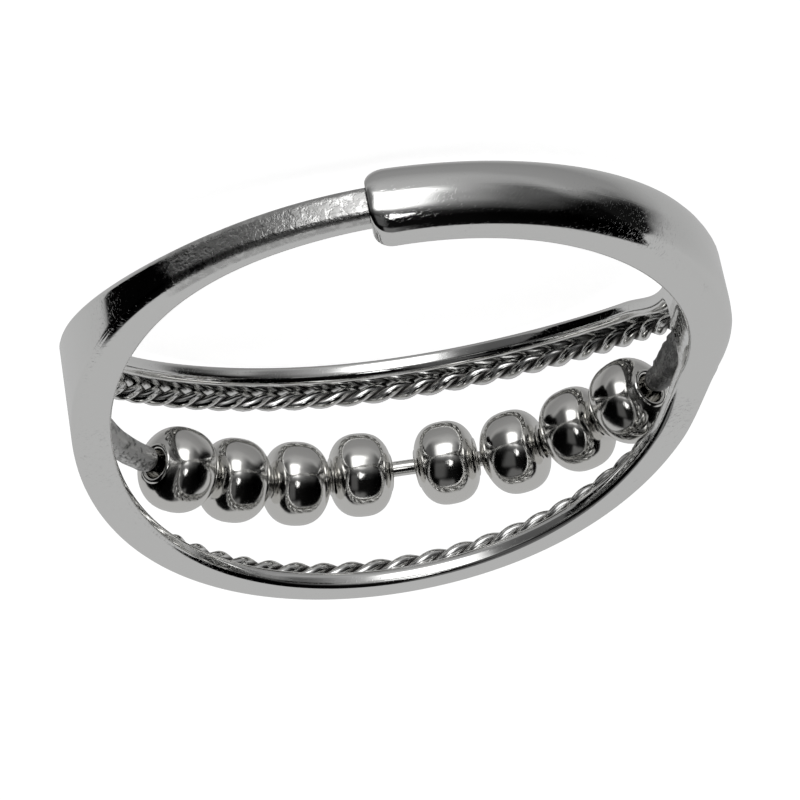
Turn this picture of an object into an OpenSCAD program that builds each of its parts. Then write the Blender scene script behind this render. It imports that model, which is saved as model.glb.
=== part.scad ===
// Spinner ring: two narrow rails with a twisted wire on each, eight loose barrel beads
// between them, and a shank whose tongue slides into a round-ended sleeve.
// The ring lies on its side: it rests on the front rail and on the sleeve.
// Angles run round the finger from the middle of the bead side, positive towards the tongue arm.

/* [Finger hollow] */
// Diameter of the finger hollow
finger_d = 17; // [15:0.5:21]

/* [Rails and shoulders] */
// Width across both rails at the middle of the bead side
front_w = 7.85; // [7.6:0.05:9]
// Width of the ring at its sides, where the rails meet
side_w = 3; // [2.6:0.1:3.2]
// Width of each rail along the finger
rail_w = 0.6; // [0.45:0.05:0.75]
// Thickness of the rails and shoulders
rail_t = 1.15; // [1:0.05:1.4]
// Radius of the rounded outer edges of the rails and arms
edge_r = 0.26; // [0.15:0.01:0.29]
// Radius of the edges next to the finger
inner_edge = 0.15; // [0.1:0.01:0.2]
// Angle where the opening between the rails ends on the tongue side
open_left = 84; // [80:1:90]
// Angle where the opening between the rails ends on the sleeve side
open_right = 91; // [84:1:94]

/* [Tongue arm] */
// Width of the tongue
tongue_w = 0.94; // [0.7:0.02:1.1]
// Thickness of the tongue
tongue_t = 0.86; // [0.7:0.02:0.96]
// Length of tongue hidden in the sleeve
tongue_in = 3.6; // [2.5:0.1:5]

/* [Sleeve arm] */
// Width of the sleeve
sleeve_w = 1.96; // [1.84:0.02:2.3]
// Thickness of the sleeve's metal over the tongue
sleeve_roof = 0.17; // [0.16:0.01:0.3]
// How far the crown swells where the sleeve arm leaves the shoulder
swell = 0.1; // [0:0.02:0.3]
// Width of the sleeve arm where it leaves the shoulder
root_w = 3; // [2.8:0.05:3.3]
// Thickness of the sleeve's wall next to the finger
sleeve_wall = 0.16; // [0.14:0.01:0.24]
// Gap between tongue and sleeve
slide_gap = 0.04; // [0.03:0.01:0.06]
// Angle of the sleeve's mouth
mouth_a = 167.5; // [160:0.5:172]

/* [Twisted wires] */
// Diameter of one strand; two make a twisted wire
strand_d = 0.33; // [0.26:0.01:0.34]
// Length of one full twist
twist_pitch = 1.8; // [1.4:0.1:2.4]
// Distance of the twisted wire's middle from the finger hollow
twist_out = 0.82; // [0.7:0.01:0.84]

/* [Bead wire] */
// Diameter of the bead wire
wire_d = 0.5; // [0.4:0.02:0.6]
// Distance of the bead wire's middle from the finger hollow
wire_out = 0.95; // [0.9:0.05:1.3]
// How far the middle of the bead wire's arc lies behind the middle of the hollow
wire_back = 0.15; // [0:0.05:0.3]
// Lean of the bead wire, lower at the tongue side
wire_lean = 1.4; // [0:0.1:2]
// Height of the bow in the middle of the bead wire
wire_bow = 0.32; // [0:0.02:0.4]
// How far the ends of the bead wire tuck in towards the finger
wire_tuck = 0.28; // [0.2:0.02:0.4]
// Diameter of the solder stubs at both ends of the bead wire
stub_d = 0.9; // [0.7:0.05:1]

/* [Beads] */
// Diameter of a bead
bead_d = 2.7; // [2.2:0.05:2.9]
// Length of a bead
bead_l = 2.06; // [1.7:0.02:2.1]
// Play of a bead round its wire, on the radius
bead_play = 0.22; // [0.15:0.01:0.26]
// Room beside each bead along the wire, tongue-side group
left_room = 0.12; // [0.11:0.01:0.24]
// Room beside each bead along the wire, sleeve-side group
right_room = 0.23; // [0.11:0.01:0.32]
// Angle of the bare stretch of wire between the two groups
bare_a = -10; // [-12:0.5:-8]
// Length of that bare stretch
bare_l = 0.6; // [0.5:0.05:1]

/* [Hidden] */
$fn = 48;
GROUP = 4;
finger_r = finger_d / 2;
outer_r = finger_r + rail_t;
// share of the front's width that grows straight with the distance from the sides
STRAIGHT = 0.69;
// share of the way back at which the tongue arm has reached its own width
TAPER = 0.86;
// rounding of the sleeve's crown as shares of half its width, on the radius and across the width
ROUNDING = 0.54;
DOME = 0.8;
// angles over which the sleeve arm's width turns into the rails' width
ROOT_BACK_DEG = 99;
ROOT_FRONT_DEG = 71;
// where the crown's swelling is highest and the angle it takes to fall on either side
SWELL_AT_DEG = 106;
SWELL_REACH_DEG = 38;
// angle over which the bead wire's bow falls to nothing on either side
BOW_REACH_DEG = 26;
// angles over which the ends of the bead wire tuck in towards the finger
TUCK_FROM_DEG = 50;
TUCK_TO_DEG = 84;
ARC_STEP_DEG = 4;
WIRE_SIDES = 12;
TWIST_SIDES = 6;
TWIST_STEPS = 8;
STUB_PARTS = 4;
STUB_SIDES = 10;
// waist of the two touching strands as a share of their joint radius
WAIST = 0.4;
// how deep the twisted wires sink into the rails
SINK = 0.06;
// angle that the rails run into the arms, and how far they stay below the arms' surface there
ROOT_DEG = 3.4;
FLUSH = 0.012;

function clamp(v, low, high) = max(low, min(high, v));
function smooth(t) = let (c = clamp(t, 0, 1)) c * c * (3 - 2 * c);
function mix(a, b, t) = a + (b - a) * t;
function power(v, p) = sign(v) * pow(abs(v), p);
function turn(len, r) = len / r * 180 / PI;

// Half the ring's width at angle a
function front_half(a) = let (c = cos(a))
    mix(side_w / 2, front_w / 2, STRAIGHT * c + (1 - STRAIGHT) * sin(90 * c));
function tongue_half(a) = let (s = clamp(-cos(a) / TAPER, 0, 1))
    tongue_w / 2 + (side_w - tongue_w) / 2 * (1 - sin(90 * s));
function sleeve_half(a) = let (s = clamp(-cos(a), 0, 1))
    mix(sleeve_w / 2, root_w / 2, cos(90 * s));
function root_share(a) = smooth((a + ROOT_BACK_DEG) / (ROOT_BACK_DEG - ROOT_FRONT_DEG));
function half_w(a) = a > 0
    ? (a < 90 ? front_half(a) : tongue_half(a))
    : mix(sleeve_half(a), front_half(max(a, -90)), root_share(a));

// Radii of the tongue arm: it drifts outwards so that the sleeve's inner wall is flush
tongue_edge_r = 0.22;
seat_r = finger_r + sleeve_wall + slide_gap;
function tongue_drift(a) = smooth((a - 95) / (mouth_a - 95));
function tongue_in_r(a) = mix(finger_r, seat_r, tongue_drift(a));
function tongue_out_r(a) = mix(outer_r, seat_r + tongue_t, tongue_drift(a));
function tongue_edge(a) = mix(edge_r, tongue_edge_r, tongue_drift(a));

// Radius of the sleeve arm's crown, and how far its edges fall below the crown
function sleeve_grow(a) = smooth((-a - 78) / 24);
sleeve_r = seat_r + tongue_t + slide_gap + sleeve_roof;
function crown_r(a) = mix(outer_r, sleeve_r, sleeve_grow(a))
    + swell * pow(cos(clamp(90 * (a + SWELL_AT_DEG) / SWELL_REACH_DEG, -90, 90)), 2);
function crown_edge(a) = mix(edge_r, ROUNDING * sleeve_w / 2, sleeve_grow(a));
function crown_side(a) = mix(edge_r, DOME * half_w(a), smooth((-a - 98) / 30));
// The mouth end is rounded off over this length
mouth_round = 0.6;
function mouth_share(a) = let (u = clamp(1 - (a + 360 - mouth_a) / turn(mouth_round, outer_r), 0, 1))
    sqrt(1 - 0.86 * u * u);

// Cross-section [r, z] between two radii and two heights, with inner and outer edges rounded;
// the outer edges may reach further across than they do on the radius
function section(r1, r2, z1, z2, inner, outer, across = 0) = [for (q = [0:3], i = [0:2])
    let (t = 90 * q + 45 * i, out = q == 0 || q == 3, e = out ? outer : inner, f = out ? max(e, across) : e)
    [(out ? r2 - e : r1 + e) + e * cos(t), (q < 2 ? z2 - f : z1 + f) + f * sin(t)]];
function place(p, a) = [p[0] * sin(a), p[0] * cos(a), p[1]];
function steps(a1, a2, size) = let (n = ceil((a2 - a1) / size)) [for (i = [0:n]) a1 + (a2 - a1) * i / n];

// Joins a row of rings, each a list of points, into one closed solid
module skin(rings) {
    n = len(rings[0]);
    m = len(rings);
    sides = [for (j = [0:m - 2], i = [0:n - 1], k = [0, 1])
        let (a = j * n + i, b = j * n + (i + 1) % n)
        k == 0 ? [a, b + n, b] : [a, a + n, b + n]];
    first = [[for (i = [0:n - 1]) i]];
    last = [[for (i = [0:n - 1]) m * n - 1 - i]];
    polyhedron(points = [for (r = rings) each r], faces = concat(sides, first, last), convexity = 8);
}

module tongue_arm() {
    tip = mouth_a + turn(tongue_in, seat_r);
    color("gainsboro") skin([for (a = steps(open_left, tip, ARC_STEP_DEG)) let (h = half_w(a))
        [for (p = section(tongue_in_r(a), tongue_out_r(a), -h, h, inner_edge, tongue_edge(a))) place(p, a)]]);
}

module sleeve_arm() {
    mouth = mouth_a - 360;
    rounded = turn(mouth_round, outer_r);
    curl = [for (k = [0:3]) mouth + rounded * k * k / 12];
    rows = concat(curl, steps(mouth + rounded, -open_right, ARC_STEP_DEG));
    color("gainsboro") skin([for (a = rows)
        let (m = mouth_share(a), h = half_w(a) * m, top = mix(seat_r + tongue_t, crown_r(a), m),
            points = section(finger_r, top, -h, h, inner_edge, crown_edge(a) * m, crown_side(a) * m))
        [for (p = points) place(p, a)]]);
}

// Hollow of the sleeve: the tongue's own shape, larger by the gap
module sleeve_hollow() {
    r1 = seat_r - slide_gap;
    r2 = seat_r + tongue_t + slide_gap;
    h = tongue_w / 2 + slide_gap;
    a1 = mouth_a - 4;
    a2 = mouth_a + turn(tongue_in, seat_r) + 3;
    skin([for (a = steps(a1, a2, ARC_STEP_DEG))
        [for (p = section(r1, r2, -h, h, inner_edge, tongue_edge_r)) place(p, a)]]);
}

// Half the thickness of a twisted wire's two-lobed section, t degrees round it at angle a
function lobe(a, t, hand) =
    strand_d / 2 * (1 + WAIST + (1 - WAIST) * cos(2 * (t + hand * 360 * a / turn(twist_pitch, twist_r))));

// Cross-section [r, z] of a rail with the twisted wire soldered to its inner side
function rail_section(a, hand) = let (
    inner = finger_r + FLUSH,
    outer = outer_r - FLUSH,
    top = half_w(a) - FLUSH,
    bottom = half_w(a) - rail_w,
    mid = bottom - strand_d + SINK,
    e = edge_r)
    concat(
        [for (t = [0, 45, 90]) [outer - e + e * cos(t), top - e + e * sin(t)]],
        [for (t = [90, 180]) [inner + inner_edge * (1 + cos(t)), top - inner_edge * (1 - sin(t))]],
        [for (t = [180, 270]) [inner + e + e * cos(t), bottom + e + e * sin(t)]],
        [[twist_r - 0.9 * lobe(a, 180, hand), bottom]],
        [for (i = [0:TWIST_SIDES]) let (t = 180 + 180 * i / TWIST_SIDES)
            [twist_r + lobe(a, t, hand) * cos(t), mid + lobe(a, t, hand) * sin(t)]],
        [[outer, bottom + e]]);

// Near rail with its twisted wire; both ends run into the arms just below the surface
twist_r = finger_r + twist_out;
module near_rail(hand = 1) {
    step = turn(twist_pitch, twist_r) / TWIST_STEPS;
    color("gainsboro") skin([for (a = steps(-open_right - ROOT_DEG, open_left + ROOT_DEG, step))
        [for (p = rail_section(a, hand)) place(p, a)]]);
}

// The far rail's wire is twisted to the same hand
module far_rail() {
    mirror([0, 0, 1]) near_rail(-1);
}

wire_r = finger_r + wire_out;
left_step = turn(bead_l + left_room, wire_r);
right_step = turn(bead_l + right_room, wire_r);
left_start = bare_a + turn(bare_l, wire_r) / 2;
right_start = bare_a - turn(bare_l, wire_r) / 2;
left_end = left_start + GROUP * left_step;
right_end = right_start - GROUP * right_step;

// Place on the bead wire: its arc's middle lies behind the hollow's middle, and it leans and bows
function tucked(a) = wire_r - wire_tuck * smooth((abs(a) - TUCK_FROM_DEG) / (TUCK_TO_DEG - TUCK_FROM_DEG));
function bow(a) = -wire_bow * pow(cos(clamp(90 * (a - bare_a) / BOW_REACH_DEG, -90, 90)), 2);
module wire_plane() {
    rotate([0, wire_lean, 0]) translate([0, -wire_back, 0]) children();
}
module on_wire(a) {
    wire_plane() rotate([0, 0, -a]) translate([0, tucked(a), bow(a)]) children();
}

module bead_wire() {
    r = wire_d / 2;
    color("silver") wire_plane() skin([for (a = steps(-open_right - 2, open_left + 2, ARC_STEP_DEG))
        [for (i = [0:WIRE_SIDES - 1]) let (t = 360 * i / WIRE_SIDES)
            place([tucked(a) + r * cos(t), bow(a) + r * sin(t)], a)]]);
}

// Lumpy solder round the bead wire, from its rounded tip to the shoulder
module solder_stub(tip, shoulder) {
    function at(i) = mix(tip, shoulder, i / STUB_PARTS);
    color("darkgray") for (i = [0:STUB_PARTS - 1]) hull() for (k = [i, i + 1])
        on_wire(at(k)) sphere(d = stub_d * (i % 2 == 0 ? 1 : 0.92), $fn = STUB_SIDES);
}

module ring_frame() {
    round_tip = turn(stub_d / 2, wire_r);
    near_rail();
    far_rail();
    tongue_arm();
    difference() {
        sleeve_arm();
        sleeve_hollow();
    }
    bead_wire();
    solder_stub(left_end + round_tip, open_left + 1);
    solder_stub(right_end - round_tip, -open_right - 1);
}

// Angle of bead k, counted from the tongue side
function bead_a(k) = k <= GROUP
    ? left_end - (k - 0.5) * left_step
    : right_start - (k - GROUP - 0.5) * right_step;

// Barrel with a straight bore; its axis follows the wire
module bead(k) {
    bore = wire_d / 2 + bead_play;
    edge = 12;
    color("gainsboro") on_wire(bead_a(k)) rotate([0, 90, 0]) difference() {
        rotate_extrude() polygon([for (i = [0:edge]) let (t = 180 * i / edge - 90)
            [bead_d / 2 * pow(abs(cos(t)), 0.8), bead_l / 2 * power(sin(t), 0.8)]]);
        cylinder(r = bore, h = bead_l * 2, center = true);
    }
}

// Tilt of the ring lying on its side, so that the front rail and the sleeve touch the floor
rest_r = finger_r + FLUSH + inner_edge;
rest_half = half_w(0) - FLUSH;
rest_tilt = min([for (a = [-180:3:-120])
    atan((rest_half - half_w(a)) / (rest_r - (crown_r(a) - crown_edge(a)) * cos(a)))]);
rest_drop = rest_half * cos(rest_tilt) - rest_r * sin(rest_tilt);
rest_back = (bead_d / 2 + (wire_r - wire_back - crown_r(-180)) * cos(rest_tilt)) / 2;
rest_side = (max([for (a = [-120:1:-80]) -crown_r(a) * sin(a)]) - outer_r) / 2;

module lying() {
    translate([rest_side, -rest_back, rest_drop]) rotate([rest_tilt, 0, 0]) children();
}

lying() ring_frame();
lying() bead(1);  // bead_1
lying() bead(2);  // bead_2
lying() bead(3);  // bead_3
lying() bead(4);  // bead_4
lying() bead(5);  // bead_5
lying() bead(6);  // bead_6
lying() bead(7);  // bead_7
lying() bead(8);  // bead_8
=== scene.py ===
"""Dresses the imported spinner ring: worn silver band, twisted wires, bead wire, solder and polished beads."""

import math

import bmesh
import bpy
from bpy.props import FloatProperty, FloatVectorProperty, PointerProperty
from mathutils import Matrix, Vector, noise


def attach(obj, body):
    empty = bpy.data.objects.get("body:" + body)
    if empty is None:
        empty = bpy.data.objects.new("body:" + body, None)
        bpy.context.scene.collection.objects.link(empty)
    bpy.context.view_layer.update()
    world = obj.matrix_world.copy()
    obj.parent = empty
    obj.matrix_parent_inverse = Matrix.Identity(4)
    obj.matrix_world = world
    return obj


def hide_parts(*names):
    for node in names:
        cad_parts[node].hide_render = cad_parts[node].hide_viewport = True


bl_info = {
    "name": "Spinner ring dressing",
    "version": (1, 0, 0),
    "blender": (4, 5, 0),
    "location": "3D View > Sidebar > Spinner Ring",
    "description": "Builds the visible silver of a spinner ring around its packed solids",
    "category": "Object",
}

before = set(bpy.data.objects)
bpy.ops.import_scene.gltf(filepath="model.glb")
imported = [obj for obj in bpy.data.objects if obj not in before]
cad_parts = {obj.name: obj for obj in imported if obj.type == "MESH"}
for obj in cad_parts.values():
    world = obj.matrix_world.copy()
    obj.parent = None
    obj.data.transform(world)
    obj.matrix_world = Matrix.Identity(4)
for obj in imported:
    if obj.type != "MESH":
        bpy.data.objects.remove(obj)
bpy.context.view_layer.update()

# Forms of the ring that stay when a size changes, with angles in degrees and lengths in metres

# Beads in each of the two groups
GROUP = 4
# Share of the front's width that grows straight with the distance from the sides
STRAIGHT = 0.69
# Share of the way back at which the tongue arm has reached its own width
TAPER = 0.86
# Angles over which the sleeve arm's width turns into the rails' width
ROOT_BACK, ROOT_FRONT = 99, 71
# Angle from which the tongue arm drifts outwards to its seat in the sleeve
DRIFT_FROM = 95
# Angle from which the sleeve arm thickens, and the angle that takes
THICK_FROM, THICK_OVER = 78, 24
# Where the crown's swelling is highest and the angle it takes to fall on either side
SWELL_AT, SWELL_REACH = 106, 38
# Rounding of the sleeve's crown on the radius and across, as shares of half its width
ROUNDING, DOME = 0.54, 0.97
# Angles over which the sleeve arm's crown turns from flat to domed
DOME_FROM, DOME_TO = 94, 128
# Radius of the tongue's outer edges
TONGUE_EDGE = 0.00022
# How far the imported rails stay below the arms' surface
FLUSH = 0.000012
# Angles at which the sleeve may touch the floor, and at which its arm may reach furthest to the side
SLEEVE_BACK, SLEEVE_SIDE = range(-180, -119, 3), range(-120, -79)
# Depths in the sleeve's slot at which it gets a row of points, and how far the tongue reaches into it
SLOT_ROWS, TONGUE_IN = (0.0014, 0.0003, 0), 0.0011
# Share of the sleeve's wall that the rounding of the mouth takes off next to the finger
MOUTH_BEVEL = 0.7
# Half the opening's height at which its edges have their full radius
LOW_EDGE_AT = 0.0004
# Least length left between two corners, or for a radius
HAIR = 0.00001
# Angles between rows of the band, of its rounded mouth and of the opening's rounded ends
BAND_STEP, MOUTH_STEP, NOTCH_STEP = 1, 9, 10
# Points on each rounded corner of the band, and between corners on the outer, side and inner faces
CORNER, OUTER_SPAN, SIDE_SPAN, INNER_SPAN = 8, 4, 3, 2
# Radius of a strand as a share of half its nominal size: two fat strands sink into each other
FAT = 1.15
# Reach of the two strands from their middle, as a share of a strand's nominal size
PAIR = 0.98
# How far the twisted wires and the bead wire run into the shoulders, as angles
TWIST_IN, WIRE_IN = 1.5, 1
# Rows of points on one full twist, and points round a strand
TWIST_ROWS, STRAND_SIDES = 24, 12
# Angle over which the bead wire's bow falls to nothing, and angles over which its ends tuck in
BOW_REACH, TUCK_FROM, TUCK_TO = 26, 50, 84
# Share of its nominal size that the bead wire has, the angle between its rows, and the points round it
WIRE_SHARE, WIRE_STEP, WIRE_SIDES = 0.995, 1.5, 20
# Lumps of the solder and its widening towards the shoulder, on the tongue side and on the sleeve side
LEFT_SOLDER, RIGHT_SOLDER = (0.07, 1.15), (0.2, 1.75)
# Share of the solder's length that its round tip takes, the rows past it, and the points round the solder
SOLDER_TIP, SOLDER_ROWS, SOLDER_SIDES = 0.15, 24, 28
# Share of its nominal size that the solder has, and the share that it may reach away from the wire
SOLDER_SHARE, SOLDER_LIMIT = 0.95, 0.96
# How steeply the solder widens, and how late along its length
FLARE_STEEP, FLARE_LATE = 1.6, 0.1
# Sizes of the solder's lumps, as (share of the whole, lumps in a metre)
SOLDER_LUMPS = ((0.6, 2600), (0.4, 6500))
# Power of the beads' barrel outline: 1 gives an ellipse, and less a fuller barrel
BARREL = 0.8
# Radius of the lip round each bore, with its foot, reach and seat as shares of it
RIM, RIM_FOOT, RIM_OUT, RIM_SUNK = 0.00009, 2.1, 0.9, 0.1
# Rows on a bead's barrel, the angle between points on its lip, and the points round it
BEAD_ROWS, RIM_STEP, BEAD_SIDES = 36, 20, 64
# How far each bead is turned on the wire from the one before, so that their wear differs
SPUN = 67
# Distances at which points are welded, on the band and on smaller pieces
BAND_WELD, SMALL_WELD = 0.0000004, 0.0000005
# Angle from which an edge stays sharp
SHARP = 40


# Sizes and finishes that a user may change

def length(name, description, default, low, high):
    return FloatProperty(name=name, description=description, default=default, min=low, max=high,
                         unit="LENGTH", precision=5)


def angle(name, description, degrees):
    return FloatProperty(name=name, description=description, default=math.radians(degrees), subtype="ANGLE")


def colour(name, description, default):
    return FloatVectorProperty(name=name, description=description, default=default, size=3,
                               min=0, max=1, subtype="COLOR")


def share(name, description, default, high=1.0):
    return FloatProperty(name=name, description=description, default=default, min=0, max=high,
                         subtype="FACTOR")


class BandSizes(bpy.types.PropertyGroup):
    """Sizes of the rails, shoulders, tongue and sleeve"""
    finger_d: length("Finger hollow", "Diameter of the finger hollow", 0.017, 0.015, 0.021)
    front_w: length("Front width", "Width over both rails at the middle of the bead side",
                    0.00785, 0.0076, 0.009)
    side_w: length("Side width", "Width of the ring where the rails meet", 0.003, 0.0026, 0.0032)
    rail_w: length("Rail width", "Width of each rail along the finger", 0.0006, 0.00045, 0.00075)
    rail_t: length("Rail thickness", "Thickness of the rails and shoulders", 0.00115, 0.001, 0.0014)
    edge_r: length("Edge radius", "Radius of the rounded outer edges", 0.00026, 0.00015, 0.00029)
    inner_edge: length("Inner edge radius", "Radius of the edges by the finger", 0.00015, 0.0001, 0.0002)
    open_left: angle("Opening end, tongue side", "Where the opening between the rails ends", 84)
    open_right: angle("Opening end, sleeve side", "Where the opening between the rails ends", 91)
    tongue_w: length("Tongue width", "Width of the tongue", 0.00094, 0.0007, 0.0011)
    tongue_t: length("Tongue thickness", "Thickness of the tongue", 0.00086, 0.0007, 0.00096)
    sleeve_w: length("Sleeve width", "Width of the sleeve", 0.00196, 0.00184, 0.0023)
    sleeve_roof: length("Sleeve roof", "Thickness of the metal over the tongue", 0.00017, 0.00016, 0.0003)
    swell: length("Crown swell", "Swell of the crown by the sleeve-side shoulder", 0.0001, 0, 0.0003)
    root_w: length("Sleeve root width", "Width of the sleeve arm at the shoulder", 0.003, 0.0028, 0.0033)
    sleeve_wall: length("Sleeve wall", "Thickness of the sleeve's wall next to the finger",
                        0.00016, 0.00014, 0.00024)
    slide_gap: length("Slide gap", "Gap between tongue and sleeve", 0.00004, 0.00003, 0.00006)
    mouth_a: angle("Sleeve mouth", "Angle of the sleeve's mouth", 167.5)
    mouth_round: length("Mouth rounding", "Length of the rounding at the mouth", 0.0006, 0.0003, 0.0009)
    mouth_lip: length("Mouth lip", "Width of the flat rim round the tongue", 0.00005, 0.00002, 0.0001)
    notch_round: length("Opening rounding", "Rounding at both ends of the opening", 0.00045, 0.0002, 0.0008)


class WireSizes(bpy.types.PropertyGroup):
    """Sizes of the twisted wires, the bead wire and the beads"""
    strand_d: length("Strand", "Diameter of one strand of a twisted wire", 0.00033, 0.00026, 0.00034)
    twist_pitch: length("Twist pitch", "Length of one full twist", 0.0018, 0.0014, 0.0024)
    twist_out: length("Twist distance", "Distance of the twist's middle from the hollow",
                      0.00082, 0.0007, 0.00084)
    twist_sink: length("Twist seat", "How deep the twisted wires sink into the rails",
                       0.00006, 0.00002, 0.0001)
    wire_d: length("Bead wire", "Diameter of the bead wire", 0.0005, 0.0004, 0.0006)
    wire_out: length("Wire distance", "Distance of the bead wire's middle from the hollow",
                     0.00095, 0.0009, 0.0013)
    wire_back: length("Wire setback", "How far the wire's arc lies behind the hollow's middle",
                      0.00015, 0, 0.0003)
    wire_lean: angle("Wire lean", "Lean of the bead wire, lower at the tongue side", 1.4)
    wire_bow: length("Wire bow", "Height of the bow in the middle of the bead wire", 0.00032, 0, 0.0004)
    wire_tuck: length("Wire tuck", "How far the wire's ends tuck in to the finger", 0.00028, 0.0002, 0.0004)
    stub_d: length("Solder", "Diameter of the solder at both ends of the bead wire", 0.0009, 0.0007, 0.001)
    bead_d: length("Bead diameter", "Diameter of a bead", 0.0027, 0.0022, 0.0029)
    bead_l: length("Bead length", "Length of a bead", 0.00206, 0.0017, 0.0021)
    bead_play: length("Bead play", "Play of a bead round its wire, on the radius", 0.00022, 0.00015, 0.00026)
    left_room: length("Tongue-side room", "Room beside each bead of the tongue-side group",
                      0.00012, 0.00011, 0.00024)
    right_room: length("Sleeve-side room", "Room beside each bead of the sleeve-side group",
                       0.00023, 0.00011, 0.00032)
    bare_a: angle("Bare wire", "Where the bare stretch between the two groups is", -10)
    bare_l: length("Bare length", "Length of the bare stretch", 0.0006, 0.0005, 0.001)


class SilverLook(bpy.types.PropertyGroup):
    """Colours and finish of the silver"""
    silver: colour("Silver", "Colour of clean polished silver", (0.86, 0.86, 0.85))
    tarnish: colour("Tarnish", "Colour of the darkened silver in grooves and spots", (0.16, 0.155, 0.15))
    band_gloss: share("Band roughness", "Roughness of the polished band", 0.06)
    bead_gloss: share("Bead roughness", "Roughness of the polished beads", 0.05)
    solder_gloss: share("Solder roughness", "Roughness of the solder", 0.38)
    scuff: share("Scuffing", "How strongly the tongue is scuffed where the sleeve rubs it", 0.6)


class StageLook(bpy.types.PropertyGroup):
    """Floor and light of the studio"""
    floor: colour("Floor", "Colour of the pale floor", (0.93, 0.93, 0.93))
    backdrop: share("Backdrop", "Brightness of the backdrop beyond the floor", 1.0, 3)
    glow: share("Floor glow", "Light that the floor itself gives, as on a light table", 0.95)
    uneven: share("Unevenness", "How unevenly the studio's light and dark parts end", 0.14)
    softbox: share("Softbox", "Brightness of the softbox seen in the silver", 1.7, 5)


# Curves of the ring in its own frame, with the finger's axis along Z and the bead side at +Y

def sin_d(a):
    return math.sin(math.radians(a))


def cos_d(a):
    return math.cos(math.radians(a))


def clamp(v, low=0.0, high=1.0):
    return max(low, min(high, v))


def smooth(t):
    c = clamp(t)
    return c * c * (3 - 2 * c)


def mix(a, b, t):
    return a + (b - a) * t


def hump(distance, reach):
    """1 at no distance, falling to 0 at reach on either side."""
    return cos_d(clamp(90 * distance / reach, -90, 90)) ** 2


def turn(distance, radius):
    """Angle in degrees that a distance takes on a circle."""
    return math.degrees(distance / radius)


def steps(first, last, size):
    """Even steps from first to last, each of them no longer than size."""
    count = max(1, math.ceil(abs(last - first) / size))
    return [mix(first, last, i / count) for i in range(count + 1)]


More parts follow.
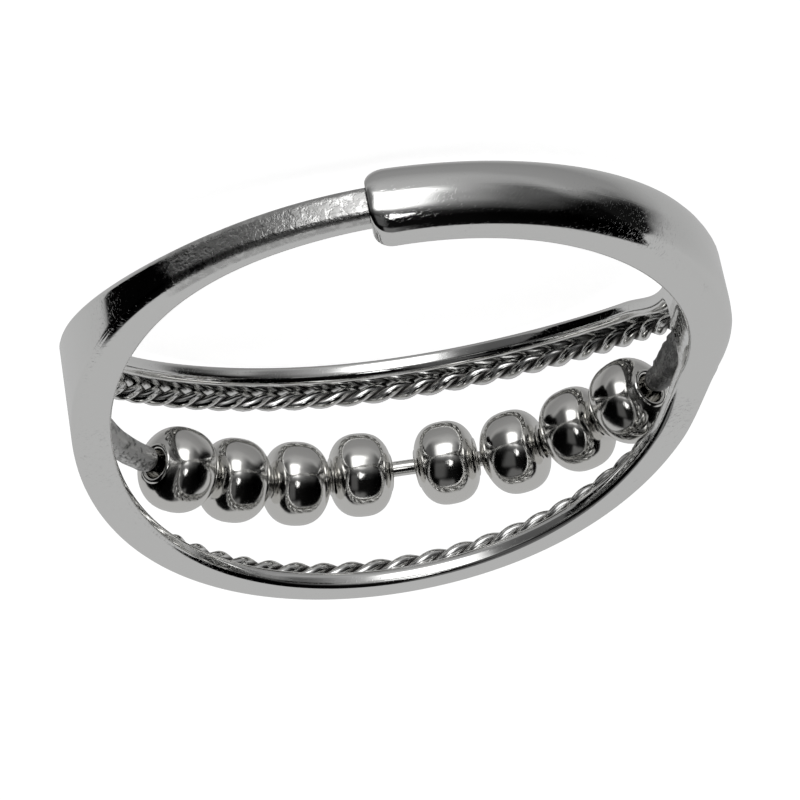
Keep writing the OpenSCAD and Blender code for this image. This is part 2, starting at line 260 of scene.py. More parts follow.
class Curves:
    """Widths, radii and places round the ring at angle a, in degrees from the bead side to the tongue."""

    def __init__(self, band, wire):
        self.band, self.wire = band, wire
        self.finger_r = band.finger_d / 2
        self.outer_r = self.finger_r + band.rail_t
        self.open_left = math.degrees(band.open_left)
        self.open_right = math.degrees(band.open_right)
        self.mouth = math.degrees(band.mouth_a)
        self.seat_r = self.finger_r + band.sleeve_wall + band.slide_gap
        self.sleeve_r = self.seat_r + band.tongue_t + band.slide_gap + band.sleeve_roof
        self.twist_r = self.finger_r + wire.twist_out
        self.wire_r = self.finger_r + wire.wire_out
        self.bare_a = math.degrees(wire.bare_a)
        half_gap = turn(wire.bare_l, self.wire_r) / 2
        self.left_step = turn(wire.bead_l + wire.left_room, self.wire_r)
        self.right_step = turn(wire.bead_l + wire.right_room, self.wire_r)
        self.right_start = self.bare_a - half_gap
        self.left_end = self.bare_a + half_gap + GROUP * self.left_step
        self.right_end = self.right_start - GROUP * self.right_step

    def front_half(self, a):
        c = cos_d(a)
        widened = STRAIGHT * c + (1 - STRAIGHT) * sin_d(90 * c)
        return mix(self.band.side_w / 2, self.band.front_w / 2, widened)

    def tongue_half(self, a):
        s = clamp(-cos_d(a) / TAPER)
        return self.band.tongue_w / 2 + (self.band.side_w - self.band.tongue_w) / 2 * (1 - sin_d(90 * s))

    def sleeve_half(self, a):
        return mix(self.band.sleeve_w / 2, self.band.root_w / 2, cos_d(90 * clamp(-cos_d(a))))

    def half_w(self, a):
        """Half the band's width along the finger."""
        if a > 0:
            return self.front_half(a) if a < 90 else self.tongue_half(a)
        t = smooth((a + ROOT_BACK) / (ROOT_BACK - ROOT_FRONT))
        return mix(self.sleeve_half(a), self.front_half(max(a, -90)), t)

    def drifted(self, a):
        """Share of its way outwards to the sleeve's slot that the tongue arm has made."""
        return smooth((a - DRIFT_FROM) / (self.mouth - DRIFT_FROM))

    def thickened(self, a):
        """Share of its way from the rails' thickness to the sleeve's that the sleeve arm has made."""
        return smooth((-a - THICK_FROM) / THICK_OVER)

    def inner_r(self, a):
        return mix(self.finger_r, self.seat_r, self.drifted(a)) if a > 0 else self.finger_r

    def crown_r(self, a):
        """Radius of the band's outer face."""
        if a > 0:
            return mix(self.outer_r, self.seat_r + self.band.tongue_t, self.drifted(a))
        swelling = self.band.swell * hump(a + SWELL_AT, SWELL_REACH)
        return mix(self.outer_r, self.sleeve_r, self.thickened(a)) + swelling

    def crown_edge(self, a):
        """Radius of the band's outer edges."""
        if a > 0:
            return mix(self.band.edge_r, TONGUE_EDGE, self.drifted(a))
        return mix(self.band.edge_r, ROUNDING * self.band.sleeve_w / 2, self.thickened(a))

    def crown_across(self, a):
        """How far the rounding of the band's outer edges reaches across it."""
        if a > 0:
            return self.crown_edge(a)
        t = smooth((-a - DOME_FROM) / (DOME_TO - DOME_FROM))
        return max(self.crown_edge(a), mix(self.band.edge_r, DOME * self.half_w(a), t))

    def tucked(self, a):
        return self.wire_r - self.wire.wire_tuck * smooth((abs(a) - TUCK_FROM) / (TUCK_TO - TUCK_FROM))

    def bow(self, a):
        return -self.wire.wire_bow * hump(a - self.bare_a, BOW_REACH)

    def on_wire(self, a):
        """Place on the bead wire, with X along the wire and Y away from the finger."""
        lean = Matrix.Rotation(self.wire.wire_lean, 4, "Y")
        middle = Matrix.Translation((0, -self.wire.wire_back, 0))
        out = Matrix.Translation((0, self.tucked(a), self.bow(a)))
        return lean @ middle @ Matrix.Rotation(math.radians(-a), 4, "Z") @ out

    def bead_a(self, k):
        """Angle of bead k, counted from the tongue side."""
        if k <= GROUP:
            return self.left_end - (k - 0.5) * self.left_step
        return self.right_start - (k - GROUP - 0.5) * self.right_step

    def lying(self):
        """Places the ring on its side, resting on the front rail and the sleeve as the solids do."""
        rest_r = self.finger_r + FLUSH + self.band.inner_edge
        rest_half = self.half_w(0) - FLUSH

        def touching(a):
            """Tilt at which the sleeve touches the floor at angle a."""
            reach = rest_r - (self.crown_r(a) - self.crown_edge(a)) * cos_d(a)
            return math.atan((rest_half - self.half_w(a)) / reach)

        tilt = min(touching(a) for a in SLEEVE_BACK)
        drop = rest_half * math.cos(tilt) - rest_r * math.sin(tilt)
        ahead = (self.wire_r - self.wire.wire_back - self.crown_r(-180)) * math.cos(tilt)
        back = (self.wire.bead_d / 2 + ahead) / 2
        side = (max(-self.crown_r(a) * sin_d(a) for a in SLEEVE_SIDE) - self.outer_r) / 2
        return Matrix.Translation((side, -back, drop)) @ Matrix.Rotation(tilt, 4, "X")


def curves():
    scene = bpy.context.scene
    return Curves(scene.ring_band, scene.ring_wire)


def place(r, z, a):
    return Vector((r * sin_d(a), r * cos_d(a), z))


# Meshes

def arc(r, z, radius, first, across=None):
    """Quarter of an ellipse from angle first; across is its radius along z where that isn't the same."""
    turns = [first + 90 * i / (CORNER - 1) for i in range(CORNER)]
    return [(r + radius * cos_d(t), z + (across or radius) * sin_d(t)) for t in turns]


def span(start, end, count):
    """Points between two corners, without the corners."""
    shares = [i / (count + 1) for i in range(1, count + 1)]
    return [(mix(start[0], end[0], t), mix(start[1], end[1], t)) for t in shares]


def half_section(r1, r2, bottom, top, low, outer, inner, across=None):
    """Points [r, z] round one half of the band: low, outer and inner are the radii of its corners."""
    corners = [arc(r2 - low, bottom + low, low, -90),
               arc(r2 - outer, top - (across or outer), outer, 0, across),
               arc(r1 + inner, top - inner, inner, 90),
               arc(r1 + low, bottom + low, low, 180)]
    points = []
    for k, count in enumerate((OUTER_SPAN, SIDE_SPAN, INNER_SPAN)):
        points += corners[k] + span(corners[k][-1], corners[k + 1][0], count)
    return points + corners[3]


def mouth_rows(c):
    """Rows (section, angle, open) from the sleeve's slot over its rounded mouth, and where the last is."""
    b = c.band
    mouth = c.mouth - 360
    slot = half_section(c.seat_r - b.slide_gap, c.seat_r + b.tongue_t + b.slide_gap, 0,
                        b.tongue_w / 2 + b.slide_gap, 0, TONGUE_EDGE, b.inner_edge)
    rows = [(slot, mouth + turn(depth, c.seat_r), False) for depth in SLOT_ROWS]
    rounded = turn(b.mouth_round, c.outer_r)
    lip, lip_edge = b.slide_gap + b.mouth_lip, TONGUE_EDGE + b.mouth_lip
    for t in steps(0, 90, MOUTH_STEP):
        a, m = mouth + rounded * (1 - cos_d(t)), sin_d(t)
        section = half_section(mix(c.finger_r + MOUTH_BEVEL * b.sleeve_wall, c.finger_r, m),
                               mix(c.seat_r + b.tongue_t + lip, c.crown_r(a), m), 0,
                               mix(b.tongue_w / 2 + lip, c.half_w(a), m), 0,
                               mix(lip_edge, c.crown_edge(a), m), b.inner_edge,
                               mix(lip_edge, c.crown_across(a), m))
        rows.append((section, a, False))
    return rows, mouth + rounded


def band_rows(c):
    """Rows (section, angle, open) of the near half, from the sleeve's slot round to the tongue's tip."""
    b = c.band
    rows, start = mouth_rows(c)

    def add(a, gap=0.0):
        """Adds a row at angle a; gap is the share that the opening has of its full height there."""
        h = c.half_w(a)
        bottom = gap * (h - b.rail_w)
        low = b.edge_r * smooth(bottom / LOW_EDGE_AT)
        room = h - bottom - low - HAIR
        section = half_section(c.inner_r(a), c.crown_r(a), bottom, h, low, min(c.crown_edge(a), room),
                               b.inner_edge, min(c.crown_across(a), room))
        rows.append((section, a, gap > 0))

    notch = turn(b.notch_round, c.outer_r)
    for a in steps(start, -c.open_right, BAND_STEP)[1:]:
        add(a)
    for t in steps(90 - NOTCH_STEP, 0, NOTCH_STEP):
        add(-c.open_right + notch * (1 - sin_d(t)), cos_d(t))
    for a in steps(-c.open_right + notch, c.open_left - notch, BAND_STEP)[1:]:
        add(a, 1)
    for t in steps(NOTCH_STEP, 90, NOTCH_STEP):
        add(c.open_left - notch * (1 - sin_d(t)), cos_d(t) if t < 90 else 0)
    for a in steps(c.open_left, c.mouth + turn(TONGUE_IN, c.seat_r), BAND_STEP)[1:]:
        add(a)
    return rows


def grid_faces(rows, around, closed, first=0, flip=False):
    """Quads between rows of points; closed says which rows join their last point to their first."""
    faces = []
    for j in range(rows - 1):
        for i in range(around if closed(j) else around - 1):
            p, q = first + j * around + i, first + j * around + (i + 1) % around
            quad = (p, q, q + around, p + around)
            faces.append(quad[::-1] if flip else quad)
    return faces


def tube(path, radius, sides, toward):
    """Points and faces of a round bar; radius(i) and toward(i), a way across it, are for each path point."""
    points = []
    last = len(path) - 1
    for i, p in enumerate(path):
        along = (path[min(i + 1, last)] - path[max(i - 1, 0)]).normalized()
        across = toward(i)
        across = (across - along * across.dot(along)).normalized()
        side = along.cross(across)
        r = radius(i)
        for k in range(sides):
            t = 2 * math.pi * k / sides
            points.append(p + (across * math.cos(t) + side * math.sin(t)) * r)
    faces = grid_faces(len(path), sides, lambda j: True)
    faces.append(tuple(reversed(range(sides))))
    faces.append(tuple(last * sides + k for k in range(sides)))
    return points, faces


def wire_tube(places, radius, sides):
    """Points and faces of a round bar along places on the bead wire."""
    return tube([m.translation for m in places], radius, sides, lambda i: places[i].col[2].to_3d())


def join(points, faces, more_points, more_faces):
    """Adds a mesh's points and faces to the lists of another."""
    faces += [tuple(len(points) + i for i in face) for face in more_faces]
    points += more_points


def add_piece(name, points, faces, place_at, body, node, material, weld=0.0):
    """Makes a smooth-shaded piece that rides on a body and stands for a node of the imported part.

    The points are given in the piece's own frame, which the materials read as ring_place.
    """
    mesh = bpy.data.meshes.new(name)
    mesh.from_pydata([tuple(p) for p in points], [], faces)
    bm = bmesh.new()
    bm.from_mesh(mesh)
    if weld:
        bmesh.ops.remove_doubles(bm, verts=bm.verts, dist=weld)
        bmesh.ops.dissolve_degenerate(bm, edges=bm.edges, dist=weld)
    ends = [e for e in bm.edges if e.is_boundary]
    if ends:
        bmesh.ops.holes_fill(bm, edges=ends, sides=0)
    bmesh.ops.recalc_face_normals(bm, faces=bm.faces)
    bm.to_mesh(mesh)
    bm.free()
    spots = mesh.attributes.new("ring_place", "FLOAT_VECTOR", "POINT")
    spots.data.foreach_set("vector", [x for v in mesh.vertices for x in v.co])
    mesh.transform(place_at)
    mesh.shade_smooth()
    mesh.set_sharp_from_angle(angle=math.radians(SHARP))
    mesh.materials.append(material)
    piece = bpy.data.objects.new(name, mesh)
    bpy.context.scene.collection.objects.link(piece)
    even = piece.modifiers.new("even_shading", "WEIGHTED_NORMAL")
    even.keep_sharp = True
    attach(piece, body)
    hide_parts(node)
    return piece


def add_frame_piece(name, points, faces, c, material, weld=0.0):
    """A piece of the soldered frame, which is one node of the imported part."""
    return add_piece(name, points, faces, c.lying(), "frame", "ring_frame", material, weld)


# Materials

# How the noise of the scratches is stretched, and how it leans in radians
SCRATCH_STRETCH, SCRATCH_LEAN = (1, 0.16, 0.5), (0.3, 0.2, 0.5)
# Roughness that no polish goes below
LEAST_ROUGH = 0.02
# Angles over which the scuffing on the tongue comes in, and how much its start wanders
SCUFF_START, SCUFF_WANDER = (126, 136), 16
# Angles past the sleeve's mouth over which the scuffing ends
SCUFF_END = (-0.2, 0.1)
# Heights over the tongue's inner face over which the scuffing comes in, so that its inside stays clean
SCUFF_HEIGHTS = (0.00035, 0.0005)
# Distance from the ring's middle over which the sleeve side's darker solder comes in
SOLDER_BLEND = 0.001


class Web:
    """Short calls that add nodes to a tree and link them."""

    def __init__(self, tree):
        self.tree = tree

    def add(self, kind, settings=None, **inputs):
        """Adds a node; settings are its properties, and an input's name has _ for a space."""
        node = self.tree.nodes.new("ShaderNode" + kind)
        for key, value in (settings or {}).items():
            setattr(node, key, value)
        for key, value in inputs.items():
            self.feed(node, key.replace("_", " "), value)
        return node

    def feed(self, node, key, value):
        """Links a socket to an input, or sets the input's value; the key is its name or its number."""
        socket = node.inputs[int(key)] if key.isdigit() else node.inputs[key]
        if isinstance(value, bpy.types.NodeSocket):
            self.tree.links.new(value, socket)
        else:
            socket.default_value = value

    def use(self, group, **inputs):
        return self.add("Group", {"node_tree": group}, **inputs).outputs

    def math(self, operation, *values):
        node = self.add("Math", {"operation": operation})
        for i, value in enumerate(values):
            self.feed(node, str(i), value)
        return node.outputs[0]

    def plus(self, a, b):
        return self.math("ADD", a, b)

    def minus(self, a, b):
        return self.math("SUBTRACT", a, b)

    def times(self, first, *others):
        for other in others:
            first = self.math("MULTIPLY", first, other)
        return first

    def mixed(self, a, b, factor):
        """Plain mix of two values."""
        return self.plus(a, self.times(self.minus(b, a), factor))

    def vector(self, operation, a, b, output="Vector"):
        node = self.add("VectorMath", {"operation": operation})
        self.feed(node, "0", a)
        self.feed(node, "Scale" if operation == "SCALE" else "1", b)
        return node.outputs[output]

    def dot(self, a, b):
        return self.vector("DOT_PRODUCT", a, b, "Value")

    def ramp(self, value, low, high, to_low=0.0, to_high=1.0):
        """Smooth step of a value between two limits."""
        node = self.add("MapRange", {"interpolation_type": "SMOOTHSTEP"}, Value=value)
        for key, limit in (("From Min", low), ("From Max", high), ("To Min", to_low), ("To Max", to_high)):
            self.feed(node, key, limit)
        return node.outputs[0]

    def window(self, value, comes, goes):
        """1 between two pairs of limits, over which it comes in and goes out."""
        return self.times(self.ramp(value, *comes), self.ramp(value, *goes, 1.0, 0.0))

    def noise(self, vector, scale, detail=2.0, rough=0.5, warp=0.0):
        return self.add("TexNoise", Vector=vector, Scale=scale, Detail=detail, Roughness=rough,
                        Distortion=warp).outputs["Fac"]

    def blend(self, a, b, factor):
        """Mix of two colours."""
        node = self.add("Mix", {"data_type": "RGBA"})
        self.feed(node, "0", factor)
        for key, value in (("6", a), ("7", b)):
            self.feed(node, key, value if isinstance(value, bpy.types.NodeSocket) else (*value, 1))
        return node.outputs[2]


def kept(collection, name, make, *values):
    """A material or shader group that several makers share, which is made once."""
    return collection.get(name) or make(name, *values)


def effect(name, inputs, outputs):
    """An empty shader group with named sockets; an input whose default is None takes a vector."""
    group = bpy.data.node_groups.new(name, "ShaderNodeTree")
    for label, default in inputs.items():
        kind = "NodeSocketVector" if default is None else "NodeSocketFloat"
        socket = group.interface.new_socket(name=label, in_out="INPUT", socket_type=kind)
        if default is not None:
            socket.default_value = default
    for label in outputs:
        group.interface.new_socket(name=label, in_out="OUTPUT", socket_type="NodeSocketFloat")
    given, made = group.nodes.new("NodeGroupInput"), group.nodes.new("NodeGroupOutput")
    return group, Web(group), given.outputs, made.inputs


def hand_polish(name):
    """Slow waves left by hand polishing, fine scratches, and the roughness that changes with them."""
    inputs = {"Vector": None, "Wave Size": 0.002, "Wave Height": 0.000004, "Scratch Height": 0.0000006,
              "Roughness": 0.1, "Variation": 0.06}
    group, web, given, made = effect(name, inputs, ("Height", "Roughness"))
    where = given["Vector"]
    wave = web.noise(where, web.math("DIVIDE", 1.0, given["Wave Size"]), detail=1.5, rough=0.45)
    stretched = web.add("Mapping", {"vector_type": "TEXTURE"}, Vector=where, Scale=SCRATCH_STRETCH,
                        Rotation=SCRATCH_LEAN).outputs[0]
    scratch = web.ramp(web.noise(stretched, 5200.0, detail=3.0, rough=0.6), 0.56, 0.72)
    height = web.minus(web.times(wave, given["Wave Height"]), web.times(scratch, given["Scratch Height"]))
    patch = web.minus(web.noise(where, 900.0, detail=4.0, rough=0.6), 0.5)
    uneven = web.times(web.plus(patch, web.times(scratch, 0.5)), given["Variation"])
    rough = web.math("MAXIMUM", web.plus(given["Roughness"], uneven), LEAST_ROUGH)
    group.links.new(height, made["Height"])
    group.links.new(rough, made["Roughness"])
    return group


def tarnish_spots(name):
    """Mask of darkened specks and clouds."""
    group, web, given, made = effect(name, {"Vector": None, "Amount": 0.3, "Cloud Size": 0.001}, ("Mask",))
    where = given["Vector"]
    cloud = web.noise(where, web.math("DIVIDE", 1.0, given["Cloud Size"]), detail=5.0, rough=0.65, warp=0.4)
    speck = web.noise(where, web.math("DIVIDE", 6.0, given["Cloud Size"]))
    both = web.plus(web.times(cloud, 0.7), web.times(speck, 0.3))
    edge = web.minus(0.78, web.times(given["Amount"], 0.5))
    group.links.new(web.ramp(both, edge, web.plus(edge, 0.16)), made["Mask"])
    return group


def polished(web, where, **values):
    return web.use(kept(bpy.data.node_groups, "hand_polish", hand_polish), Vector=where, **values)


def spotted(web, where, **values):
    return web.use(kept(bpy.data.node_groups, "tarnish_spots", tarnish_spots), Vector=where, **values)["Mask"]


def new_material(name):
    """A metal material; returns it with a web of its nodes and its shader."""
    material = bpy.data.materials.new(name)
    material.use_nodes = True
    shader = material.node_tree.nodes["Principled BSDF"]
    shader.inputs["Metallic"].default_value = 1.0
    return material, Web(material.node_tree), shader


def finish_silver(web, shader, tint, rough, height):
    web.feed(shader, "Base Color", tint)
    web.feed(shader, "Roughness", rough)
    bump = web.add("Bump", Height=height, Strength=1.0, Distance=1.0)
    web.feed(shader, "Normal", bump.outputs["Normal"])


def silver_of(look, lift=1.0):
    return tuple(clamp(v * lift) for v in look.silver)


def own_place(web):
    """Place on a piece in its own frame, which add_piece keeps with the mesh."""
    return web.add("Attribute", {"attribute_name": "ring_place"}).outputs["Vector"]


def round_the_ring(web, where):
    """Angle in degrees from the bead side to the tongue, and distance from the finger's axis."""
    parts = web.add("SeparateXYZ", Vector=where).outputs
    a = web.times(web.math("ARCTAN2", parts["X"], parts["Y"]), 180 / math.pi)
    squares = [web.times(parts[axis], parts[axis]) for axis in "XY"]
    return a, web.math("SQRT", web.plus(*squares))


def band_material(name, c, look):
    """Worn polished silver, scuffed on the tongue where the sleeve rubs it."""
    material, web, shader = new_material(name)
    where = own_place(web)
    a, out = round_the_ring(web, where)
    polish = polished(web, where, Wave_Size=0.0022, Wave_Height=0.000018, Scratch_Height=0.0000009,
                      Roughness=look.band_gloss, Variation=0.08)
    spots = spotted(web, where, Amount=0.34, Cloud_Size=0.0009)
    wander = web.times(web.minus(web.noise(where, 1100.0, detail=3.0, rough=0.6), 0.5), SCUFF_WANDER)
    rubbed = web.times(web.ramp(web.plus(a, wander), *SCUFF_START),
                       web.ramp(a, *(c.mouth + past for past in SCUFF_END), 1.0, 0.0),
                       web.ramp(out, *(c.seat_r + height for height in SCUFF_HEIGHTS)))
    worn = web.ramp(web.noise(where, 4200.0, detail=3.0, rough=0.6, warp=0.4), 0.36, 0.56, 0.5, 1.0)
    scuffed = web.times(rubbed, worn, look.scuff)
    grit = web.noise(where, 9000.0, detail=3.0, rough=0.7)
    rough = web.plus(polish["Roughness"], web.times(scuffed, web.plus(0.25, web.times(grit, 0.3))))
    height = web.plus(polish["Height"], web.times(grit, scuffed, 0.000028))
    dull = web.math("MAXIMUM", web.times(spots, 0.35), web.times(scuffed, 0.65))
    finish_silver(web, shader, web.blend(silver_of(look), look.tarnish, dull), rough, height)
    return material


def bead_material(name, look):
    """Bright polished silver with hairline scratches."""
    material, web, shader = new_material(name)
    where = own_place(web)
    polish = polished(web, where, Wave_Size=0.0016, Wave_Height=0.000006, Scratch_Height=0.0000005,
                      Roughness=look.bead_gloss, Variation=0.05)
    dull = web.times(spotted(web, where, Amount=0.3, Cloud_Size=0.0006), 0.25)
    tint = web.blend(silver_of(look, 0.83), look.tarnish, dull)
    finish_silver(web, shader, tint, polish["Roughness"], polish["Height"])
    return material


def twist_material(name, look):
    """Silver strands, bright on their crests and dark where they meet."""
    material, web, shader = new_material(name)
    where = own_place(web)
    groove = web.add("Attribute", {"attribute_name": "groove"}).outputs["Fac"]
    polish = polished(web, where, Wave_Size=0.0008, Wave_Height=0.000006, Scratch_Height=0.0000006,
                      Roughness=0.11, Variation=0.14)
    spots = spotted(web, where, Amount=0.4, Cloud_Size=0.0007)
    dark = web.math("MAXIMUM", web.ramp(groove, 0.3, 0.75), web.times(spots, 0.6))
    tint = web.blend(silver_of(look, 0.95), look.tarnish, dark)
    rough = web.plus(polish["Roughness"], web.times(dark, 0.25))
    finish_silver(web, shader, tint, rough, polish["Height"])
    return material


def solder_material(name, look):
    """Dull, uneven solder with dark pits, darker on the sleeve side."""
    material, web, shader = new_material(name)
    where = own_place(web)
    polish = polished(web, where, Wave_Size=0.0004, Wave_Height=0.00003, Scratch_Height=0.000001,
                      Roughness=look.solder_gloss, Variation=0.2)
    sideways = web.add("SeparateXYZ", Vector=where).outputs["X"]
    sleeve_side = web.ramp(sideways, SOLDER_BLEND, -SOLDER_BLEND)
    spots = spotted(web, where, Amount=web.plus(0.6, web.times(sleeve_side, 0.16)), Cloud_Size=0.0005)
    clean = web.blend(silver_of(look, 0.85), silver_of(look, 0.4), sleeve_side)
    tint = web.blend(clean, silver_of(look, 0.12), web.times(spots, 0.85))
    height = web.minus(polish["Height"], web.times(spots, 0.00002))
    finish_silver(web, shader, tint, polish["Roughness"], height)
    return material


# Operators, one for each piece or group of like pieces and one for the stage

class RING_OT_band(bpy.types.Operator):
    """Builds the band: both rails, the shoulders, the tongue arm and the sleeve arm"""
    bl_idname = "ring.band"
    bl_label = "Band"

    def execute(self, context):
        c = curves()
        rows = band_rows(c)
        around = len(rows[0][0])
        near = [place(r, z, a) for section, a, _ in rows for r, z in section]
        far = [Vector((p.x, p.y, -p.z)) for p in near]

        def opened(j):
            return rows[j][2] or rows[j + 1][2]

        faces = grid_faces(len(rows), around, opened)
        faces += grid_faces(len(rows), around, opened, len(near), True)
        material = band_material("band_silver", c, context.scene.ring_silver)
        add_frame_piece("band", near + far, faces, c, material, BAND_WELD)
        return {"FINISHED"}


class RING_OT_twists(bpy.types.Operator):
    """Builds the twisted wire of two strands on the inner side of each rail"""
    bl_idname = "ring.twists"
    bl_label = "Twisted wires"

    def execute(self, context):
        c = curves()
        w = c.wire
        strand = FAT * w.strand_d / 2
        out = PAIR * w.strand_d - strand
        degrees = turn(w.twist_pitch, c.twist_r)
        angles = steps(-c.open_right - TWIST_IN, c.open_left + TWIST_IN, degrees / TWIST_ROWS)
        points, faces = [], []
        for half in (1, -1):
            for start in (0, 180):
                path, ways = [], []
                for a in angles:
                    mid = c.half_w(a) - c.band.rail_w - w.strand_d + w.twist_sink
                    t = start - half * 360 * a / degrees
                    path.append(place(c.twist_r + out * cos_d(t), half * (mid + out * sin_d(t)), a))
                    ways.append((path[-1] - place(c.twist_r, half * mid, a)).normalized())
                join(points, faces, *tube(path, lambda i: strand, STRAND_SIDES, lambda i: ways[i]))
        material = twist_material("twist_silver", context.scene.ring_silver)
        piece = add_frame_piece("twisted_wires", points, faces, c, material)
        if len(piece.data.vertices) != len(points):
            raise RuntimeError("the twisted wires lost points, so their grooves can't be marked")
        spread = piece.data.attributes.new("groove", "FLOAT", "POINT")
        grooves = [0.5 - 0.5 * math.cos(2 * math.pi * i / STRAND_SIDES) for i in range(len(points))]
        spread.data.foreach_set("value", grooves)
        return {"FINISHED"}


class RING_OT_bead_wire(bpy.types.Operator):
    """Builds the curved wire that carries the beads"""
    bl_idname = "ring.bead_wire"
    bl_label = "Bead wire"

    def execute(self, context):
        c = curves()
        places = [c.on_wire(a) for a in steps(-c.open_right - WIRE_IN, c.open_left + WIRE_IN, WIRE_STEP)]
        points, faces = wire_tube(places, lambda i: WIRE_SHARE * c.wire.wire_d / 2, WIRE_SIDES)
        material = kept(bpy.data.materials, "bead_silver", bead_material, context.scene.ring_silver)
        add_frame_piece("bead_wire", points, faces, c, material)
        return {"FINISHED"}


def solder_end(c, tip, shoulder, lumps, flare):
    """Points and faces of the solder round one end of the bead wire, from its tip to the shoulder."""
    full = c.wire.stub_d / 2
    reach = turn(full, c.wire_r)
    limit = SOLDER_LIMIT * full
    shares = [SOLDER_TIP * (1 - cos_d(t)) for t in range(0, 90, 9)]
    shares += [mix(SOLDER_TIP, 1, i / SOLDER_ROWS) for i in range(1, SOLDER_ROWS + 1)]
    places = [c.on_wire(mix(tip, shoulder, t)) for t in shares]

    def radius(i):
        u = clamp(1 - abs(shoulder - tip) * shares[i] / reach)
        grown = mix(1, flare, smooth(FLARE_STEEP * shares[i] - FLARE_LATE))
        return max(HAIR, full * SOLDER_SHARE * grown * math.sqrt(1 - u * u))

    points, faces = wire_tube(places, radius, SOLDER_SIDES)
    shaped = []
    for k, p in enumerate(points):
        at = places[k // SOLDER_SIDES]
        bump = sum(part * noise.noise(p * scale) for part, scale in SOLDER_LUMPS)
        reached = (p - at.translation) * (1 - lumps / 2 + lumps * bump)
        outward = at.col[1].to_3d()
        past = reached.dot(outward) - clamp(reached.dot(outward), -limit, limit)
        shaped.append(at.translation + reached - outward * past)
    return shaped, faces


class RING_OT_solder(bpy.types.Operator):
    """Builds the uneven solder round both ends of the bead wire"""
    bl_idname = "ring.solder"
    bl_label = "Solder"

    def execute(self, context):
        c = curves()
        points, faces = [], []
        join(points, faces, *solder_end(c, c.left_end, c.open_left + WIRE_IN, *LEFT_SOLDER))
        join(points, faces, *solder_end(c, c.right_end, -c.open_right - WIRE_IN, *RIGHT_SOLDER))
        material = solder_material("solder", context.scene.ring_silver)
        add_frame_piece("solder", points, faces, c, material, SMALL_WELD)
        return {"FINISHED"}


def bead_outline(w):
    """Points [x, r] of a bead from bore to bore: a barrel with a raised lip round each bore."""
    bore = w.wire_d / 2 + w.bead_play
    limit = math.degrees(math.acos((2 * bore / w.bead_d) ** (1 / BARREL)))
    barrel = []
    for t in steps(-limit, limit, 2 * limit / BEAD_ROWS):
        x = w.bead_l / 2 * math.copysign(abs(sin_d(t)) ** BARREL, t)
        barrel.append((x, w.bead_d / 2 * cos_d(t) ** BARREL))
    body = [p for p in barrel if p[1] > bore + RIM_FOOT * RIM]
    seat = body[-1][0] - RIM_SUNK * RIM
    lip = [(seat + RIM_OUT * RIM * sin_d(t), bore + RIM * (1 + cos_d(t)))
           for t in range(RIM_STEP, 181, RIM_STEP)]
    return [(-x, r) for x, r in reversed(lip)] + body + lip


class RING_OT_beads(bpy.types.Operator):
    """Builds the eight polished barrel beads with their bores"""
    bl_idname = "ring.beads"
    bl_label = "Beads"

    def execute(self, context):
        c = curves()
        outline = bead_outline(c.wire)
        around = [2 * math.pi * k / BEAD_SIDES for k in range(BEAD_SIDES)]
        points = [(x, r * math.cos(t), r * math.sin(t)) for x, r in outline + outline[:1] for t in around]
        faces = grid_faces(len(outline) + 1, BEAD_SIDES, lambda j: True)
        material = kept(bpy.data.materials, "bead_silver", bead_material, context.scene.ring_silver)
        for k in range(1, 2 * GROUP + 1):
            place_at = c.lying() @ c.on_wire(c.bead_a(k)) @ Matrix.Rotation(math.radians(SPUN * k), 4, "X")
            add_piece(f"bead_{k}_polished", points, faces, place_at,
                      f"bead_{k}", f"bead_{k}", material, SMALL_WELD)
        return {"FINISHED"}


# The photograph's view: low over the floor on the sleeve's side, with the camera turned nearly upside down
VIEW_TARGET = Vector((0.000022, -0.000079, 0.003808))
VIEW_DISTANCE, VIEW_LENS = 0.084576, 129.77
VIEW_RISE, VIEW_SIDE, VIEW_ROLL = 15.209, 11.932, 171.641
# Half the floor's width, and the share of its colour that its darker grain has
FLOOR_REACH, FLOOR_GRAIN = 3.0, 0.985

# What the silver mirrors, as light by angle above the camera in degrees: 180 is straight behind the ring,
# where a pale sweep begins, and the camera's own dark side lies just below 0
STUDIO = [(-180, 0.49), (-150, 0.485), (-91, 0.495), (-84, 0.004), (-12, 0.004), (4, 0.03), (16, 0.2),
          (30, 0.4), (58, 0.5), (75, 0.42), (90, 0.3), (122, 0.26), (146, 0.42), (180, 0.49)]
# Angles over which the sweep ends below and the dark side begins
SWEEP_END = (-91, -84)
# Other lights: the angles over which each comes in and goes out, its middle across the picture, where -1 is
# straight to the left and 1 to the right, the distances from there over which it fades, and its brightness
SOFTBOX = ((16, 26), (50, 60), -0.1, (0.16, 0.44))
HIGH_GLOW = (SWEEP_END, (-54, -42), 0, (0.2, 0.32), 0.13)
LOW_GLOW = ((-50, -34), (-4, 8), -0.3, (0.12, 0.3), 0.08)
# The lamp by the camera: how far to its right, and how straight at the lamp a mirrored ray has to go
LAMP_RIGHT, LAMP_EDGE = 0.05, (0.996, 0.9985)
# In front, light fades to both sides: the angles over which that ends, and places across with the shares left
FRONT_END, FRONT_FADE = (62, 85), (0.2, 0.7, 1.0, 0.2)
# Screens on the right and on the left: the angles over which the right one ends, places across with the
# shares of light that are left there, and where the left one covers every angle
RIGHT_END, RIGHT_SCREEN = (125, 145), (0.7, 0.88, 1.0, 0.02)
LEFT_SCREEN, LEFT_WHOLE = (-0.89, -0.865, 0.002, 1.0), (-0.965, -0.945, 1.0, 0.0)


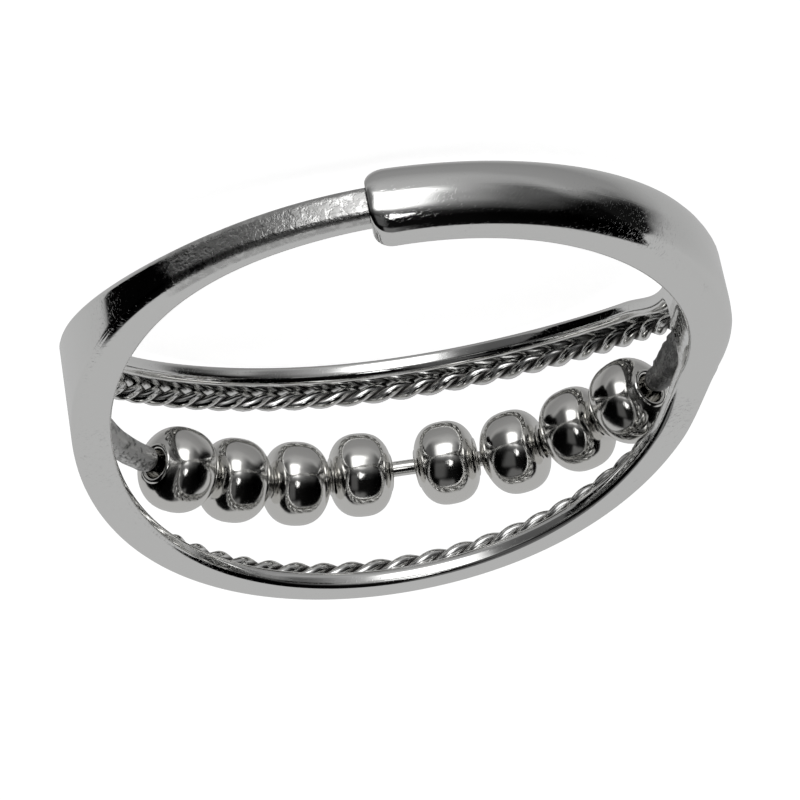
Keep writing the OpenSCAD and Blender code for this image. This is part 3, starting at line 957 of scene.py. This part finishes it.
def view_axes():
    """Directions to the camera, to the picture's right and to its top."""
    level_out = cos_d(VIEW_RISE)
    to_camera = Vector((level_out * sin_d(VIEW_SIDE), -level_out * cos_d(VIEW_SIDE), sin_d(VIEW_RISE)))
    level = (-to_camera).cross(Vector((0, 0, 1))).normalized()
    upright = to_camera.cross(level)
    right = level * cos_d(VIEW_ROLL) + upright * sin_d(VIEW_ROLL)
    top = upright * cos_d(VIEW_ROLL) - level * sin_d(VIEW_ROLL)
    return to_camera, right, top


def studio_scale(web, rise):
    """Light of the studio at an angle above the camera."""
    scale = web.add("ValToRGB", Fac=web.plus(web.math("DIVIDE", rise, 360.0), 0.5))
    stops = scale.color_ramp.elements
    while len(stops) > 1:
        stops.remove(stops[0])
    for i, (degrees, light) in enumerate(STUDIO):
        stop = stops[0] if i == 0 else stops.new(degrees / 360 + 0.5)
        stop.position = degrees / 360 + 0.5
        stop.color = (light, light, light, 1)
    return scale.outputs["Color"]


def studio_light(web, rise, across, comes, goes, middle, fades, light):
    """One light of the studio, which fades to both sides."""
    away = web.math("ABSOLUTE", web.minus(across, middle))
    return web.times(web.window(rise, comes, goes), web.ramp(away, *fades, light, 0.0))


def studio_world(look):
    """A dark studio with a softbox and a pale sweep, which the camera itself sees as a white backdrop."""
    world = bpy.data.worlds.new("studio")
    world.use_nodes = True
    world.node_tree.nodes.clear()
    web = Web(world.node_tree)
    to_camera, right, top = view_axes()
    straight = web.add("TexCoord").outputs["Generated"]
    cloud = web.add("TexNoise", Vector=straight, Scale=3.5, Detail=3.0, Roughness=0.55).outputs["Color"]
    drift = web.vector("SUBTRACT", cloud, (0.5, 0.5, 0.5))
    way = web.vector("ADD", straight, web.vector("SCALE", drift, look.uneven))
    near, across, up = web.dot(way, to_camera), web.dot(way, right), web.dot(way, top)
    rise = web.times(web.math("ARCTAN2", up, near), 180 / math.pi)
    fade = web.ramp(web.math("ABSOLUTE", across), *FRONT_FADE)
    front = web.window(rise, SWEEP_END, FRONT_END)
    light = web.times(studio_scale(web, rise), web.mixed(1.0, fade, front))
    for lit in ((*SOFTBOX, look.softbox), HIGH_GLOW, LOW_GLOW):
        light = web.plus(light, studio_light(web, rise, across, *lit))
    lamp = web.dot(way, (to_camera + right * LAMP_RIGHT).normalized())
    light = web.plus(light, web.ramp(lamp, *LAMP_EDGE, 0.0, look.softbox))
    on_right = web.window(rise, SWEEP_END, RIGHT_END)
    on_left = web.math("MAXIMUM", web.ramp(rise, *SWEEP_END), web.ramp(across, *LEFT_WHOLE))
    for screen, covered in ((RIGHT_SCREEN, on_right), (LEFT_SCREEN, on_left)):
        light = web.times(light, web.mixed(1.0, web.ramp(across, *screen), covered))
    studio = web.add("Background", Color=light, Strength=1.0)
    backdrop = web.add("Background", Color=(1, 1, 1, 1), Strength=look.backdrop)
    both = web.add("MixShader", Fac=web.add("LightPath").outputs["Is Camera Ray"])
    web.feed(both, "1", studio.outputs[0])
    web.feed(both, "2", backdrop.outputs[0])
    web.add("OutputWorld", Surface=both.outputs[0])
    bpy.context.scene.world = world


def floor_material(look):
    """Pale matt floor that gives light of its own."""
    material, web, shader = new_material("pale_floor")
    grain = web.noise(web.add("TexCoord").outputs["Object"], 1500.0)
    tone = web.blend(look.floor, tuple(v * FLOOR_GRAIN for v in look.floor), grain)
    for key, value in (("Metallic", 0), ("Specular IOR Level", 0), ("Roughness", 0.9), ("Base Color", tone),
                       ("Emission Color", tone), ("Emission Strength", look.glow)):
        web.feed(shader, key, value)
    return material


class RING_OT_stage(bpy.types.Operator):
    """Builds the pale floor, the studio light and the camera at the photograph's angle"""
    bl_idname = "ring.stage"
    bl_label = "Stage"

    def execute(self, context):
        look = context.scene.ring_stage
        mesh = bpy.data.meshes.new("floor")
        corners = [(FLOOR_REACH * x, FLOOR_REACH * y, 0) for x, y in ((-1, -1), (1, -1), (1, 1), (-1, 1))]
        mesh.from_pydata(corners, [], [(0, 1, 2, 3)])
        mesh.materials.append(floor_material(look))
        floor = bpy.data.objects.new("floor", mesh)
        context.scene.collection.objects.link(floor)
        floor.visible_glossy = False
        studio_world(look)
        to_camera, right, top = view_axes()
        lens = bpy.data.cameras.new("camera")
        lens.lens = VIEW_LENS
        lens.sensor_width = 36
        lens.clip_start = 0.001
        camera = bpy.data.objects.new("camera", lens)
        axes = Matrix((right, top, to_camera)).transposed().to_4x4()
        camera.matrix_world = Matrix.Translation(VIEW_TARGET + to_camera * VIEW_DISTANCE) @ axes
        context.scene.collection.objects.link(camera)
        context.scene.camera = camera
        context.scene.view_settings.view_transform = "Standard"
        return {"FINISHED"}


class RING_PT_panel(bpy.types.Panel):
    """Lists the ring's pieces, sizes and finishes"""
    bl_idname = "RING_PT_panel"
    bl_label = "Spinner Ring"
    bl_space_type = "VIEW_3D"
    bl_region_type = "UI"
    bl_category = "Spinner Ring"

    def draw(self, context):
        for operator in OPERATORS:
            self.layout.operator(operator.bl_idname)
        for name in GROUPS:
            group = getattr(context.scene, name)
            box = self.layout.box()
            for key in group.__annotations__:
                box.prop(group, key)


GROUPS = {"ring_band": BandSizes, "ring_wire": WireSizes, "ring_silver": SilverLook, "ring_stage": StageLook}
OPERATORS = [RING_OT_band, RING_OT_twists, RING_OT_bead_wire, RING_OT_solder, RING_OT_beads, RING_OT_stage]


def register():
    for cls in [*GROUPS.values(), *OPERATORS, RING_PT_panel]:
        bpy.utils.register_class(cls)
    for name, cls in GROUPS.items():
        setattr(bpy.types.Scene, name, PointerProperty(type=cls))


def unregister():
    for name in GROUPS:
        delattr(bpy.types.Scene, name)
    for cls in reversed([*GROUPS.values(), *OPERATORS, RING_PT_panel]):
        bpy.utils.unregister_class(cls)


def main():
    register()
    for operator in (bpy.ops.ring.band, bpy.ops.ring.twists, bpy.ops.ring.bead_wire, bpy.ops.ring.solder,
                     bpy.ops.ring.beads, bpy.ops.ring.stage):
        operator()


if __name__ == "__main__":
    main()
